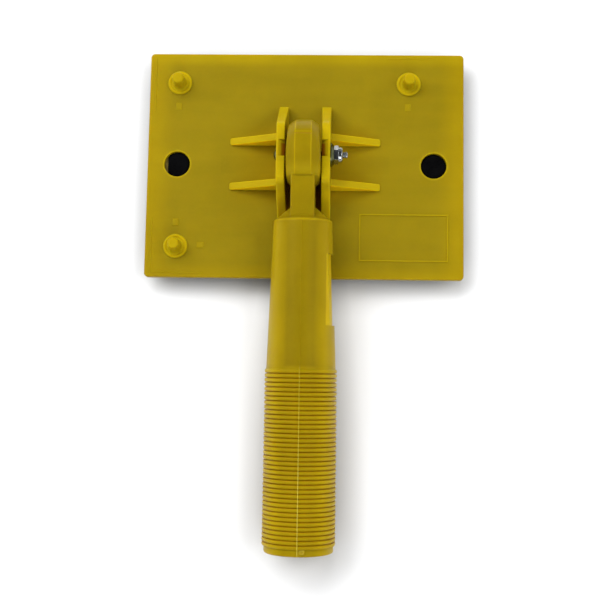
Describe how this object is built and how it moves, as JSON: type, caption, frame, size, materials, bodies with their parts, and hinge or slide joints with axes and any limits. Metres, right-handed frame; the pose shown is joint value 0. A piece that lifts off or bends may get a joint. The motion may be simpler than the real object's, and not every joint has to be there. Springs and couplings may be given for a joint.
{
  "type": "pole drywall sander head",
  "caption": "Flat sanding plate with a foam pad, hinged by a bolted clevis to a ribbed handle with a threaded socket for a pole.",
  "frame": {"origin": "centre of the sanding face, below the middle of the plate", "axes": "+Z away from the sanding face through the plate, +Y across the plate away from the handle, +X along the pivot screw towards its nut"},
  "size_m": [0.1588, 0.2489, 0.0492],
  "materials": {
    "moulded_plastic": "satin moulded polypropylene, olive yellow, slightly translucent",
    "pad_foam": "black closed-cell foam, fine open skin",
    "hook_sheet": "black nylon hook sheet",
    "plated_steel": "bright zinc plate",
    "nylon": "pale blue translucent nylon"
  },
  "bodies": {
    "head": {"base_plate": "moulded_plastic", "foam_pad": "pad_foam", "hook_facing": "hook_sheet", "pivot_screw": "plated_steel", "washer": "plated_steel", "lock_nut": "plated_steel", "nylon_insert": "nylon"},
    "handle": {"handle": "moulded_plastic"}
  },
  "joints": [
    {"name": "handle_tilt", "type": "hinge", "parent": "head", "child": "handle", "pos_m": [0, 0, 0.03254], "axis": [-1, 0, 0], "range_deg": [0, 170.9]}
  ]
}
